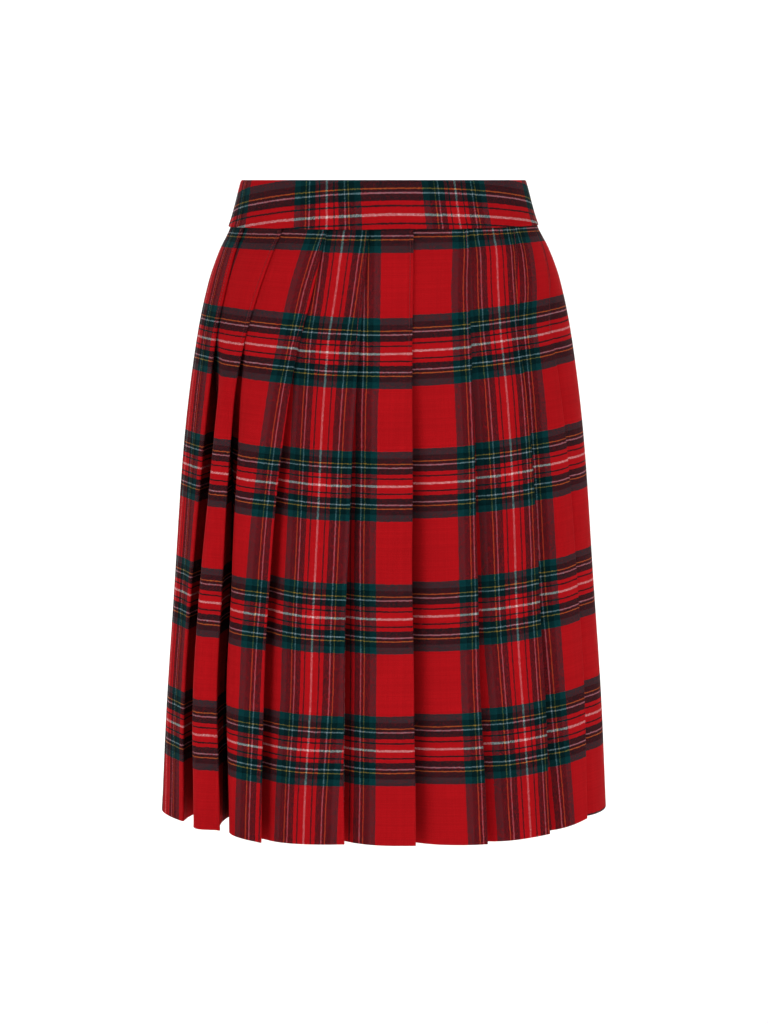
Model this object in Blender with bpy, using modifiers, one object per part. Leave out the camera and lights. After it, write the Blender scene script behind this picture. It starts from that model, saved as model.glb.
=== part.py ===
"""A knee-length skirt in brushed tartan wool with sixteen knife pleats, filled out as worn.

The wearer faces -Y and +Z is up. Left and right are the wearer's own, so left is +X.
The origin is the centre of the waist at half the height of the waistband.
The tables and the sizes below are in millimetres; the meshes are in metres.

Every level cut through the skirt is an ellipse with its own depth in front and behind. A place on
the cloth is told by three numbers: its drop below the waistband's top edge, its distance along the
level ring from the centre front towards +X, and its height out of that ring (negative is inward).
"""

import math
from typing import NamedTuple

import bpy
import numpy as np

MM = 0.001

BAND_HEIGHT = 44.0
ORIGIN_DROP = BAND_HEIGHT / 2
PIECE_GAP = 0.3
CLOTH = 1.2
HEM_DROP = 590.0

# The pleated cloth lies a little inside the waistband's outer face.
BODY_INSET = 0.4
# Half the distance between the middles of two layers that lie folded on each other.
FOLD_RADIUS = 0.75
# The pleats are sewn down to the release, and below it the panels stand open.
RELEASE_DROP = 150.0
SEWN_LIFT = 4 * FOLD_RADIUS
LIFT_EASE = 4.5
# A pleat's hidden depth never reaches the fold edge of the pleat before it.
MOST_OF_PANEL = 0.82
# The bulge of a panel is highest at three fifths of its width.
BULGE_AT = 0.6
# A mouth never takes more of the next panel than this.
MOST_OF_MOUTH = 0.6

PLEAT_DROPS = (BAND_HEIGHT + PIECE_GAP, 58, 75, 95, 120, RELEASE_DROP, 185, 230, 290, 360, 440, 520, HEM_DROP)


class Section(NamedTuple):
    """A level ring of the outer surface, with how much higher it runs at the two sides."""

    drop: float
    half_width: float
    front_depth: float
    back_depth: float
    right_rise: float
    left_rise: float


SECTIONS = (
    Section(0, 130, 92, 92, 0, 0),
    Section(44, 141.5, 101, 106, 1.5, 3),
    Section(70, 152, 108, 117, 5, 8),
    Section(105, 162.5, 113, 128, 9, 14),
    Section(165, 174, 119, 136, 12, 18),
    Section(250, 184.7, 125, 140, 13, 18),
    Section(387, 194.8, 133, 144, 15, 18),
    Section(500, 203, 138, 148, 12, 15),
    Section(590, 207.5, 142, 151, 9, 10),
)


class Fold(NamedTuple):
    """A pleat's fold edge: its ellipse angle at six levels, and its form at the hem.

    The lift is how far the edge stands off the cloth behind it. The mouth is the width beside the edge
    in which the next panel comes up three quarters of the way. The bulge is that of the pleat's panel.
    """

    waist: float
    high_hip: float
    release: float
    hip: float
    thigh: float
    hem: float
    hem_lift: float
    mouth: float
    hem_bulge: float


FRONT_FOLDS = (
    Fold(-64.2, -62.2, -62.9, -62.5, -65.5, -62.4, 24, 22, 0),
    Fold(-39.9, -44.1, -47.1, -49.0, -48.8, -45.9, 26, 8, 12),
    Fold(-20.9, -23.4, -26.3, -28.6, -32.8, -31.9, 15, 26, 2),
    Fold(-4.9, -6.2, -7.2, -8.3, -10.0, -9.8, 16, 22, 0),
    Fold(11.0, 9.3, 8.6, 8.3, 7.8, 8.0, 19, 26, 0),
    Fold(32.9, 28.3, 27.4, 26.7, 25.8, 27.2, 16, 18, 0),
    Fold(57.8, 48.3, 45.5, 46.2, 46.9, 46.8, 15, 16, 0),
    Fold(78.0, 69.4, 62.9, 63.9, 66.3, 64.6, 12, 14, 0),
)
# The fold whose hidden inner edge lies on the centre-back line, where the zip is.
CENTRE_BACK_FOLD = Fold(191.3, 190.9, 190.7, 190.5, 191.6, 192.4, 14, 20, 0)
LAST_FOLD = Fold(259.0, 259.0, 259.0, 258.5, 258.0, 258.0, 5, 30, 0)
FOLDS_FRONT_TO_CENTRE = 4
FOLDS_CENTRE_TO_LAST = 2
FULL_TURN = Fold(360, 360, 360, 360, 360, 360, 0, 0, 0)

FOLD_LEVELS = (BAND_HEIGHT, 105.0, RELEASE_DROP, 207.0, 430.0, HEM_DROP)
HIDDEN_LEVELS = (BAND_HEIGHT, 207.0, HEM_DROP)
HIDDEN_DEPTHS = (28.0, 33.0, 45.0)


class BandEdge(NamedTuple):
    """The waistband's thickness at one drop: its outer and inner height out of the ring."""

    drop: float
    outer: float
    inner: float


BAND_PROFILE = (
    BandEdge(0.0, -0.3, -1.8),
    BandEdge(1.2, 0.3, -2.4),
    BandEdge(22.0, 0.5, -3.0),
    BandEdge(34.0, 0.5, -3.6),
    BandEdge(BAND_HEIGHT, 0.5, -6.8),
)
BAND_COLUMN_DEGREES = 7.5


class ClothPiece(NamedTuple):
    """A cut piece of the pleated skirt: the first and the last pleat that it holds."""

    name: str
    first_pleat: int
    last_pleat: int


SKIRT_PIECES = (
    ClothPiece("skirt_front", 1, 9),
    ClothPiece("skirt_back_left", 10, 13),
    ClothPiece("skirt_back_right", 14, 16),
)


class BandPiece(NamedTuple):
    """A cut piece of the waistband, between two seams given by their ellipse angles."""

    name: str
    start: float
    end: float


BAND_PIECES = (
    BandPiece("waistband_front", -90, 90),
    BandPiece("waistband_back_left", 90, 180),
    BandPiece("waistband_back_right", 180, 270),
)

CENTRE_BACK = 180.0
TAPE_TOP = 2.0
TAPE_WIDTH = 20.0
TAPE_THICKNESS = 0.8
TAPE_END = 185.0

SLIDER_DROP = 11.0
SLIDER_SIZE = (6.0, 2.0, 9.0)
SLIDER_BEVEL = 0.5
ARCH_WIDTH = 1.4
ARCH_BAR = 1.0
ARCH_HOLE_LENGTH = 2.6
ARCH_HOLE_HEIGHT = 2.2
ARCH_RELIEF = 0.1

PULL_THICKNESS = 1.0
PULL_CROSSBAR = 1.0
PULL_NECK_WIDTH = 4.8
PULL_WIDTH = 6.0
PULL_LENGTH = 20.0
PULL_WINDOW = (2.4, 3.4)
PULL_ROUND_POINTS = 9

WOOL_COLOUR = "A81C26"
WOOL_ROUGHNESS = 0.9
TAPE_COLOUR = "1B1718"
TAPE_ROUGHNESS = 0.8
METAL_COLOUR = "B9BBBE"
METAL_ROUGHNESS = 0.35
SHARP_EDGE_DEGREES = 40


def linear_colour(hex_code):
    """The linear RGBA of an sRGB hex colour."""
    channels = [int(hex_code[i:i + 2], 16) / 255 for i in (0, 2, 4)]
    linear = [c / 12.92 if c <= 0.04045 else ((c + 0.055) / 1.055) ** 2.4 for c in channels]
    return (*linear, 1.0)


def smooth_through(knots, values, at):
    """The value at one place of the monotone cubic curve through a short table."""
    knots = np.asarray(knots, dtype=float)
    values = np.asarray(values, dtype=float)
    spans = np.diff(knots)
    slopes = np.diff(values) / spans
    tangents = np.zeros(len(knots))
    tangents[0] = slopes[0]
    tangents[-1] = slopes[-1]
    for i in range(1, len(knots) - 1):
        if slopes[i - 1] * slopes[i] > 0:
            before = spans[i - 1] + 2 * spans[i]
            after = 2 * spans[i - 1] + spans[i]
            tangents[i] = (before + after) / (before / slopes[i - 1] + after / slopes[i])
    at = min(max(at, knots[0]), knots[-1])
    i = min(int(np.searchsorted(knots, at, side="right")) - 1, len(spans) - 1)
    u = (at - knots[i]) / spans[i]
    return float(
        (1 + 2 * u) * (1 - u) ** 2 * values[i]
        + u * (1 - u) ** 2 * spans[i] * tangents[i]
        + u * u * (3 - 2 * u) * values[i + 1]
        + u * u * (u - 1) * spans[i] * tangents[i + 1]
    )


def section_at(drop):
    """The section at any drop, read smoothly from the table."""
    drops = [row.drop for row in SECTIONS]
    return Section(*(smooth_through(drops, column, drop) for column in zip(*SECTIONS)))


class Ring:
    """The level ring at one drop, measured along its length from the centre front towards +X."""

    def __init__(self, drop):
        self.drop = drop
        self.section = section_at(drop)
        self.degrees = np.arange(361.0)
        angles = np.radians(self.degrees)
        across = self.section.half_width * np.cos(angles)
        deep = self.depths(angles) * np.sin(angles)
        speed = np.hypot(across, deep)
        steps = (speed[1:] + speed[:-1]) / 2 * math.radians(1)
        self.lengths = np.concatenate(([0.0], np.cumsum(steps)))
        self.girth = self.lengths[-1]

    def depths(self, angles):
        """The front depth on the front half of the ring and the back depth on the other."""
        return np.where(np.cos(angles) >= 0, self.section.front_depth, self.section.back_depth)

    def along(self, degrees):
        """The length along the ring at an ellipse angle."""
        turns, rest = divmod(degrees, 360.0)
        return turns * self.girth + float(np.interp(rest, self.degrees, self.lengths))

    def point(self, along, out):
        """The place in metres at a length along the ring and a height out of it."""
        angle = math.radians(float(np.interp(along % self.girth, self.lengths, self.degrees)))
        sine, cosine = math.sin(angle), math.cos(angle)
        half_width = self.section.half_width
        depth = float(self.depths(angle))
        normal = math.hypot(depth * sine, half_width * cosine)
        rise = (self.section.left_rise if sine > 0 else self.section.right_rise) * sine * sine
        x = half_width * sine + out * depth * sine / normal
        y = -depth * cosine - out * half_width * cosine / normal
        z = ORIGIN_DROP - self.drop + rise
        return (x * MM, y * MM, z * MM)


def between(first, last, steps):
    """The folds that part the way from one fold to another into even steps, without the ends."""
    return [Fold(*(a + (b - a) * i / steps for a, b in zip(first, last))) for i in range(1, steps)]


def all_folds():
    """The sixteen folds in order, with the last one moved back a turn in front of the first."""
    back = between(FRONT_FOLDS[-1], CENTRE_BACK_FOLD, FOLDS_FRONT_TO_CENTRE + 1) + [CENTRE_BACK_FOLD]
    back += between(CENTRE_BACK_FOLD, LAST_FOLD, FOLDS_CENTRE_TO_LAST + 1) + [LAST_FOLD]
    before_first = Fold(*(a - b for a, b in zip(LAST_FOLD, FULL_TURN)))
    return [before_first, *FRONT_FOLDS, *back]


class Pleat(NamedTuple):
    """A pleat where it crosses one ring: places along the ring and heights out of it."""

    edge: float
    hidden: float
    bulge: float
    next_rounding: float
    next_at_edge: float
    next_at_inner: float


def bulge_shape(share):
    """The height of a bulge across a panel: level at both ends, and 1 where it is highest."""
    return share ** 3 * (1 - share) ** 2 / (BULGE_AT ** 3 * (1 - BULGE_AT) ** 2)


def panel_rounding(mouth, width):
    """The power with which a panel comes up out of the mouth, three quarters of the way at its end."""
    return math.log(0.25) / math.log(1 - min(MOST_OF_MOUTH, mouth / width))


def lay_pleats(ring):
    """Every pleat at one ring. Number 0 is the last pleat seen from the other side of the seam."""
    folds = all_folds()
    angles = [smooth_through(FOLD_LEVELS, fold[:len(FOLD_LEVELS)], ring.drop) for fold in folds]
    edges = [ring.along(angle) - FOLD_RADIUS - CLOTH / 2 for angle in angles]
    widths = [b - a for a, b in zip(edges, edges[1:])]
    widths.insert(0, widths[-1])
    opened = max(0.0, (ring.drop - RELEASE_DROP) / (HEM_DROP - RELEASE_DROP))
    share = 1 - (1 - opened) ** LIFT_EASE
    lifts = [SEWN_LIFT + (fold.hem_lift - SEWN_LIFT) * share for fold in folds]
    depth = smooth_through(HIDDEN_LEVELS, HIDDEN_DEPTHS, ring.drop)
    pleats = []
    for number, edge in enumerate(edges):
        before = number - 1 if number else len(folds) - 2
        after = number + 1 if number + 1 < len(folds) else 1
        hidden = min(depth, MOST_OF_PANEL * widths[number])
        straight_on = -lifts[number] * (1 + hidden / widths[after])
        under_layers = -lifts[before] * hidden / widths[number] - SEWN_LIFT
        at_inner = min(straight_on, under_layers)
        rounding = panel_rounding(folds[number].mouth, widths[after])
        bulge = folds[number].hem_bulge * share
        pleats.append(Pleat(edge, hidden, bulge, rounding, -lifts[number], at_inner))
    return pleats


class Column(NamedTuple):
    """The middle of the cloth at one place of a ring, and the way that its right side faces."""

    along: float
    out: float
    side_along: float
    side_out: float


def inner_fold(pleat):
    """The column round the hidden inner fold of a pleat."""
    out = pleat.next_at_inner + FOLD_RADIUS
    return Column(pleat.edge - pleat.hidden - FOLD_RADIUS, out, 1, 0)


def pleat_columns(before, pleat):
    """The columns of one pleat: its panel from the inner fold to the edge, then the layer that returns."""
    middle = (before.next_at_inner + before.next_at_edge) / 2
    width = pleat.edge - before.edge
    return_end = pleat.next_at_inner + 2 * FOLD_RADIUS
    return_middle = (return_end - 2 * FOLD_RADIUS) / 2

    def panel(share):
        out = before.next_at_edge * (1 - share) ** before.next_rounding + pleat.bulge * bulge_shape(share)
        return Column(before.edge + width * share, out, 0, 1)

    over_inner = 1 - pleat.hidden / width
    return [
        Column(before.edge - before.hidden, before.next_at_inner, 0, 1),
        Column(before.edge - before.hidden / 2, middle, 0, 1),
        panel(0),
        panel(over_inner / 4),
        panel(over_inner / 2),
        panel(over_inner),
        panel((1 + over_inner) / 2),
        panel(1),
        Column(pleat.edge + FOLD_RADIUS, -FOLD_RADIUS, 1, 0),
        Column(pleat.edge, -2 * FOLD_RADIUS, 0, -1),
        Column(pleat.edge - pleat.hidden / 2, return_middle, 0, -1),
        Column(pleat.edge - pleat.hidden, return_end, 0, -1),
    ]


def pleated_row(ring, pleats, piece):
    """The right-side and the wrong-side points of one piece of pleated cloth at one ring."""
    columns = []
    for number in range(piece.first_pleat, piece.last_pleat + 1):
        if number > piece.first_pleat:
            columns.append(inner_fold(pleats[number - 1]))
        columns += pleat_columns(pleats[number - 1], pleats[number])
    middle_out = -BODY_INSET - CLOTH / 2
    half = CLOTH / 2
    right, wrong = [], []
    for column in columns:
        middle = middle_out + column.out
        step_along, step_out = half * column.side_along, half * column.side_out
        right.append(ring.point(column.along + step_along, middle + step_out))
        wrong.append(ring.point(column.along - step_along, middle - step_out))
    returning = [a.along > b.along for a, b in zip(columns, columns[1:])]
    return right, wrong, returning


def loft_wall(rows, returning):
    """The faces of a closed wall between a grid of right-side points and one of wrong-side points.

    Each quad is cut along the diagonal that runs down towards +X, also where the cloth returns, so
    that layers that lie folded on each other bend alike.
    """
    columns = len(returning) + 1
    right_count = columns * len(rows)
    vertices = [point for right, _ in rows for point in right]
    vertices += [point for _, wrong in rows for point in wrong]

    def right(row, column):
        return row * columns + column

    def wrong(row, column):
        return right_count + row * columns + column

    faces = []
    last_row, last_column = len(rows) - 1, columns - 1
    for row in range(last_row):
        for column in range(last_column):
            corners = ((row, column), (row + 1, column), (row + 1, column + 1), (row, column + 1))
            split = ((0, 1, 3), (1, 2, 3)) if returning[column] else ((0, 1, 2), (0, 2, 3))
            for triangle in split:
                faces.append([right(*corners[i]) for i in triangle])
                faces.append([wrong(*corners[i]) for i in reversed(triangle)])
        faces.append([right(row + 1, 0), right(row, 0), wrong(row, 0), wrong(row + 1, 0)])
        faces.append([right(row, last_column), right(row + 1, last_column),
                      wrong(row + 1, last_column), wrong(row, last_column)])
    for column in range(last_column):
        faces.append([right(0, column), right(0, column + 1), wrong(0, column + 1), wrong(0, column)])
        faces.append([right(last_row, column + 1), right(last_row, column),
                      wrong(last_row, column), wrong(last_row, column + 1)])
    return vertices, faces


def make_material(name, colour, roughness, metallic=0.0):
    """A Principled material with one colour."""
    material = bpy.data.materials.new(name + "_material")
    material.use_nodes = True
    shader = material.node_tree.nodes["Principled BSDF"]
    shader.inputs["Base Color"].default_value = linear_colour(colour)
    shader.inputs["Roughness"].default_value = roughness
    shader.inputs["Metallic"].default_value = metallic
    return material


def add_wall(name, rows, returning, colour, roughness):
    """Add one cloth piece as a closed wall."""
    vertices, faces = loft_wall(rows, returning)
    mesh = bpy.data.meshes.new(name)
    mesh.from_pydata(vertices, [], faces)
    mesh.shade_smooth()
    mesh.set_sharp_from_angle(angle=math.radians(SHARP_EDGE_DEGREES))
    mesh.materials.append(make_material(name, colour, roughness))
    piece = bpy.data.objects.new(name, mesh)
    skirt.objects.link(piece)
    return piece


def build_pleated_pieces():
    """The front and the two backs of the pleated skirt, seamed at hidden inner folds."""
    rings = [Ring(drop) for drop in PLEAT_DROPS]
    layouts = [lay_pleats(ring) for ring in rings]
    for piece in SKIRT_PIECES:
        cuts = [pleated_row(ring, pleats, piece) for ring, pleats in zip(rings, layouts)]
        add_wall(piece.name, [cut[:2] for cut in cuts], cuts[0][2], WOOL_COLOUR, WOOL_ROUGHNESS)


def band_row(edge, piece):
    """The outer and inner points of one waistband piece at one drop."""
    ring = Ring(edge.drop)
    start = ring.along(piece.start) + PIECE_GAP / 2
    end = ring.along(piece.end) - PIECE_GAP / 2
    steps = round((piece.end - piece.start) / BAND_COLUMN_DEGREES)
    places = [start + (end - start) * i / steps for i in range(steps + 1)]
    outer = [ring.point(place, edge.outer) for place in places]
    inner = [ring.point(place, edge.inner) for place in places]
    return outer, inner


def build_waistband():
    """The curved waistband in three pieces, thicker at its lower edge where the pleats go in."""
    for piece in BAND_PIECES:
        rows = [band_row(edge, piece) for edge in BAND_PROFILE]
        columns = len(rows[0][0])
        add_wall(piece.name, rows, [False] * (columns - 1), WOOL_COLOUR, WOOL_ROUGHNESS)


def innermost_at_centre_back(drop):
    """The height out of the ring of whatever cloth lies innermost at the centre-back line."""
    if drop <= BAND_HEIGHT:
        return smooth_through([e.drop for e in BAND_PROFILE], [e.inner for e in BAND_PROFILE], drop)
    centre = SKIRT_PIECES[1].last_pleat
    pleats = lay_pleats(Ring(drop))
    return pleats[centre].next_at_inner - BODY_INSET - CLOTH


def build_zip_tape():
    """The tape of the concealed zip, flat against the inside of the centre-back seam."""
    drops = [TAPE_TOP] + [edge.drop for edge in BAND_PROFILE[2:]]
    drops += [drop for drop in PLEAT_DROPS if drop <= TAPE_END]
    rows = []
    for drop in drops:
        ring = Ring(drop)
        centre = ring.along(CENTRE_BACK)
        places = [centre + side * TAPE_WIDTH / 2 for side in (-1, 0, 1)]
        outer = innermost_at_centre_back(drop) - PIECE_GAP
        rows.append(([ring.point(place, outer) for place in places],
                     [ring.point(place, outer - TAPE_THICKNESS) for place in places]))
    add_wall("zip_tape", rows, [False, False], TAPE_COLOUR, TAPE_ROUGHNESS)


def add_box(name, size, location, parent, collection):
    """Add a box of a given size, with its scale applied."""
    bpy.ops.mesh.primitive_cube_add(size=MM)
    box = bpy.context.object
    box.name = name
    box.data.name = name
    box.data.transform(box.matrix_world.Diagonal((*size, 1)))
    box.location = [value * MM for value in location]
    box.parent = parent
    for used in box.users_collection:
        used.objects.unlink(box)
    collection.objects.link(box)
    return box


def zip_frame():
    """An empty on the waistband's outer face at the centre back: its +Y is out and its -Z runs down."""
    above, below = section_at(0), section_at(BAND_HEIGHT)
    tilt = math.atan2(below.back_depth - above.back_depth, BAND_HEIGHT)
    outer = smooth_through([e.drop for e in BAND_PROFILE], [e.outer for e in BAND_PROFILE], SLIDER_DROP)
    x, y, z = Ring(SLIDER_DROP).point(Ring(SLIDER_DROP).along(CENTRE_BACK), outer)
    frame = bpy.data.objects.new("zip_frame", None)
    frame.location = (x, y + PIECE_GAP * math.cos(tilt) * MM, z + PIECE_GAP * math.sin(tilt) * MM)
    frame.rotation_euler = (tilt, 0, 0)
    skirt.objects.link(frame)
    return frame


def add_boolean(piece, cutter, operation):
    """Join or cut a piece with a cutter, which is left out of the build."""
    cutter.hide_render = True
    cutter.display_type = "WIRE"
    modifier = piece.modifiers.new(cutter.name, "BOOLEAN")
    modifier.object = cutter
    modifier.operation = operation


def build_slider(frame):
    """The zip slider: a small body with an arch that the pull tab hangs in."""
    width, thickness, length = SLIDER_SIZE
    body = add_box("zip_slider", SLIDER_SIZE, (0, thickness / 2, 0), frame, skirt)
    bevel = body.modifiers.new("Rounded", "BEVEL")
    bevel.width = SLIDER_BEVEL * MM
    bevel.segments = 2
    arch_height = ARCH_HOLE_HEIGHT + ARCH_BAR
    arch_length = ARCH_HOLE_LENGTH + 2 * ARCH_BAR
    foot = thickness / 2
    arch = add_box("arch_blank", (ARCH_WIDTH, arch_height + foot, arch_length),
                   (0, foot + (arch_height + foot) / 2, 0), frame, cutters)
    hole_height = ARCH_HOLE_HEIGHT + ARCH_RELIEF
    hole = add_box("arch_hole", (2 * ARCH_WIDTH, hole_height, ARCH_HOLE_LENGTH),
                   (0, thickness - ARCH_RELIEF + hole_height / 2, 0), frame, cutters)
    add_boolean(body, arch, "UNION")
    add_boolean(body, hole, "DIFFERENCE")
    body.data.materials.append(make_material("zip_slider", METAL_COLOUR, METAL_ROUGHNESS, 1.0))


def pull_outline():
    """The outline of the pull tab, with its hanging end down: a narrow neck and a round end."""
    top = PULL_CROSSBAR / 2
    shoulder = PULL_LENGTH / 2
    radius = PULL_WIDTH / 2
    points = [(-PULL_NECK_WIDTH / 2, top), (-PULL_NECK_WIDTH / 2, -shoulder / 2)]
    round_centre = radius + top - PULL_LENGTH
    for i in range(PULL_ROUND_POINTS):
        angle = math.pi * i / (PULL_ROUND_POINTS - 1)
        points.append((-radius * math.cos(angle), round_centre - radius * math.sin(angle)))
    points += [(PULL_NECK_WIDTH / 2, -shoulder / 2), (PULL_NECK_WIDTH / 2, top)]
    return points


def build_pull(frame):
    """The pull tab on its own empty at the hinge line, lying down along the band."""
    hinge = bpy.data.objects.new("zip_hinge", None)
    hinge.location = (0, (SLIDER_SIZE[1] + ARCH_HOLE_HEIGHT / 2) * MM, 0)
    hinge.parent = frame
    skirt.objects.link(hinge)
    curve = bpy.data.curves.new("zip_pull", "CURVE")
    curve.dimensions = "2D"
    curve.fill_mode = "BOTH"
    curve.extrude = PULL_THICKNESS / 2 * MM
    window_width, window_length = PULL_WINDOW
    window_top = -PULL_CROSSBAR / 2
    window = [(-window_width / 2, window_top), (window_width / 2, window_top),
              (window_width / 2, window_top - window_length), (-window_width / 2, window_top - window_length)]
    for outline in (pull_outline(), window):
        spline = curve.splines.new("POLY")
        spline.points.add(len(outline) - 1)
        for point, (x, y) in zip(spline.points, outline):
            point.co = (x * MM, y * MM, 0, 1)
        spline.use_cyclic_u = True
    pull = bpy.data.objects.new("zip_pull", curve)
    pull.parent = hinge
    pull.rotation_euler = (math.radians(90), 0, 0)
    curve.materials.append(make_material("zip_pull", METAL_COLOUR, METAL_ROUGHNESS, 1.0))
    skirt.objects.link(pull)


for leftover in list(bpy.data.objects):
    bpy.data.objects.remove(leftover)
skirt = bpy.data.collections.new("pleated_skirt")
cutters = bpy.data.collections.new("cutters")
bpy.context.scene.collection.children.link(skirt)
bpy.context.scene.collection.children.link(cutters)

build_waistband()
build_pleated_pieces()
build_zip_tape()
zip_place = zip_frame()
build_slider(zip_place)
build_pull(zip_place)
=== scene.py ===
"""The looks of a knee-length skirt in brushed tartan wool, with knife pleats on a curved waistband.

Sizes are in millimetres and become metres where a mesh is made. The wearer faces -Y, +Z is up and the
wearer's left is +X. A place on the cloth is told by its drop below the waistband's top edge, its
distance along the level ring from the centre front towards +X, and its height out of that ring.
"""

import logging
import math
from dataclasses import dataclass
from enum import Enum
from typing import NamedTuple, Sequence

import bpy
import numpy as np
from bpy.types import ID, Material, Node, NodeSocket, NodeTree, Object
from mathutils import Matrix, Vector

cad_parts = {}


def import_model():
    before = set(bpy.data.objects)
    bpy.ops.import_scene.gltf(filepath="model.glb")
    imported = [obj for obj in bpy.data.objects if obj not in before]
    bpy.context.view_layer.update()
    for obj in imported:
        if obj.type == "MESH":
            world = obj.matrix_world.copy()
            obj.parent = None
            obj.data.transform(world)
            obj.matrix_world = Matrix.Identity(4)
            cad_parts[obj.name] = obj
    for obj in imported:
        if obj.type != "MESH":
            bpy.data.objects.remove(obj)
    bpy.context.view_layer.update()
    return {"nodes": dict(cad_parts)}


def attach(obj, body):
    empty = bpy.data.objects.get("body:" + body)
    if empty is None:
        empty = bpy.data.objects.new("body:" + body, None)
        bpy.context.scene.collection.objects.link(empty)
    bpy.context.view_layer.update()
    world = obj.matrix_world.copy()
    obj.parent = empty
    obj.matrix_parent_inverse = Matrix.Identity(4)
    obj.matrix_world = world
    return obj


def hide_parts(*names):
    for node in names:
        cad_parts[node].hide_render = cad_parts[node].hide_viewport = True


MM = 0.001
LOG = logging.getLogger("skirt")

BAND_HEIGHT = 44.0
ORIGIN_DROP = BAND_HEIGHT / 2
PIECE_GAP = 0.3
HEM_DROP = 590.0
RELEASE_DROP = 150.0
CENTRE_BACK = 180.0
SHARP_DEGREES = 50
SKIRT_BODY = "skirt"


def linear(hex_code: str) -> tuple[float, float, float, float]:
    """Turn an sRGB hex colour into linear RGBA.

    Args:
        hex_code: Six hex digits, such as "B5151F".

    Returns:
        The linear red, green and blue, and an alpha of 1.
    """
    channels = [int(hex_code[i:i + 2], 16) / 255 for i in (0, 2, 4)]
    red, green, blue = (c / 12.92 if c <= 0.04045 else ((c + 0.055) / 1.055) ** 2.4 for c in channels)
    return red, green, blue, 1.0


def smooth_through(knots: Sequence[float], values: Sequence[float], at: float) -> float:
    """Read a short table along a monotone cubic curve.

    Args:
        knots: The places that the table gives, in rising order.
        values: The value at each place.
        at: The place to read. Beyond the ends the table is level.

    Returns:
        The value there.
    """
    places = np.asarray(knots, dtype=float)
    heights = np.asarray(values, dtype=float)
    spans = np.diff(places)
    slopes = np.diff(heights) / spans
    tangents = np.zeros(len(places))
    tangents[0] = slopes[0]
    tangents[-1] = slopes[-1]
    for i in range(1, len(places) - 1):
        if slopes[i - 1] * slopes[i] > 0:
            before = spans[i - 1] + 2 * spans[i]
            after = 2 * spans[i - 1] + spans[i]
            tangents[i] = (before + after) / (before / slopes[i - 1] + after / slopes[i])
    at = min(max(at, places[0]), places[-1])
    i = min(int(np.searchsorted(places, at, side="right")) - 1, len(spans) - 1)
    u = (at - places[i]) / spans[i]
    return float(
        (1 + 2 * u) * (1 - u) ** 2 * heights[i]
        + u * (1 - u) ** 2 * spans[i] * tangents[i]
        + u * u * (3 - 2 * u) * heights[i + 1]
        + u * u * (u - 1) * spans[i] * tangents[i + 1]
    )


def add_node(tree: NodeTree, kind: str, links: dict | None = None, **settings) -> Node:
    """Add a node to a tree with its settings, its input values and its links.

    Args:
        tree: The shader or geometry tree.
        kind: The node's bl_idname.
        links: Input name or number to a value, to an output socket, or to a node for its first output.
        settings: The node's own properties.

    Returns:
        The new node.
    """
    node = tree.nodes.new(kind)
    for name, value in settings.items():
        setattr(node, name, value)
    for key, value in (links or {}).items():
        if isinstance(value, Node):
            value = value.outputs[0]
        if isinstance(value, NodeSocket):
            tree.links.new(value, node.inputs[key])
        else:
            node.inputs[key].default_value = value
    return node


class Section(NamedTuple):
    """A level ring of the outer surface, with how much higher it runs at the two sides."""

    drop: float
    half_width: float
    front_depth: float
    back_depth: float
    right_rise: float
    left_rise: float


SECTIONS = (
    Section(0, 130, 92, 92, 0, 0),
    Section(44, 141.5, 101, 106, 1.5, 3),
    Section(70, 152, 108, 117, 5, 8),
    Section(105, 162.5, 113, 128, 9, 14),
    Section(165, 174, 119, 136, 12, 18),
    Section(250, 184.7, 125, 140, 13, 18),
    Section(387, 194.8, 133, 144, 15, 18),
    Section(500, 203, 138, 148, 12, 15),
    Section(590, 207.5, 142, 151, 9, 10),
)


class Fold(NamedTuple):
    """A pleat's fold edge: its ellipse angle at six levels, and its form at the hem.

    The lift is how far the edge stands off the cloth behind it. The mouth is the width beside the edge
    in which the next panel comes up three quarters of the way. The bulge is that of the pleat's panel.
    """

    waist: float
    high_hip: float
    release: float
    hip: float
    thigh: float
    hem: float
    hem_lift: float
    mouth: float
    hem_bulge: float


FRONT_FOLDS = (
    Fold(-64.2, -62.2, -62.9, -62.5, -65.5, -62.4, 24, 22, 0),
    Fold(-39.9, -44.1, -47.1, -49.0, -48.8, -45.9, 26, 8, 12),
    Fold(-20.9, -23.4, -26.3, -28.6, -32.8, -31.9, 15, 26, 2),
    Fold(-4.9, -6.2, -7.2, -8.3, -10.0, -9.8, 16, 22, 0),
    Fold(11.0, 9.3, 8.6, 8.3, 7.8, 8.0, 19, 26, 0),
    Fold(32.9, 28.3, 27.4, 26.7, 25.8, 27.2, 16, 18, 0),
    Fold(57.8, 48.3, 45.5, 46.2, 46.9, 46.8, 15, 16, 0),
    Fold(78.0, 69.4, 62.9, 63.9, 66.3, 64.6, 12, 14, 0),
)
CENTRE_BACK_FOLD = Fold(191.3, 190.9, 190.7, 190.5, 191.6, 192.4, 14, 20, 0)
LAST_FOLD = Fold(259.0, 259.0, 259.0, 258.5, 258.0, 258.0, 5, 30, 0)
FOLDS_FRONT_TO_CENTRE = 4
FOLDS_CENTRE_TO_LAST = 2
FULL_TURN = Fold(360, 360, 360, 360, 360, 360, 0, 0, 0)
FOLD_LEVELS = (BAND_HEIGHT, 105.0, RELEASE_DROP, 207.0, 430.0, HEM_DROP)
HIDDEN_LEVELS = (BAND_HEIGHT, 207.0, HEM_DROP)


class Place(NamedTuple):
    """Where a fold edge lies in the tartan at the six levels, in mm of cloth past a white line."""

    waist: float
    high_hip: float
    release: float
    hip: float
    thigh: float
    hem: float


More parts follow.
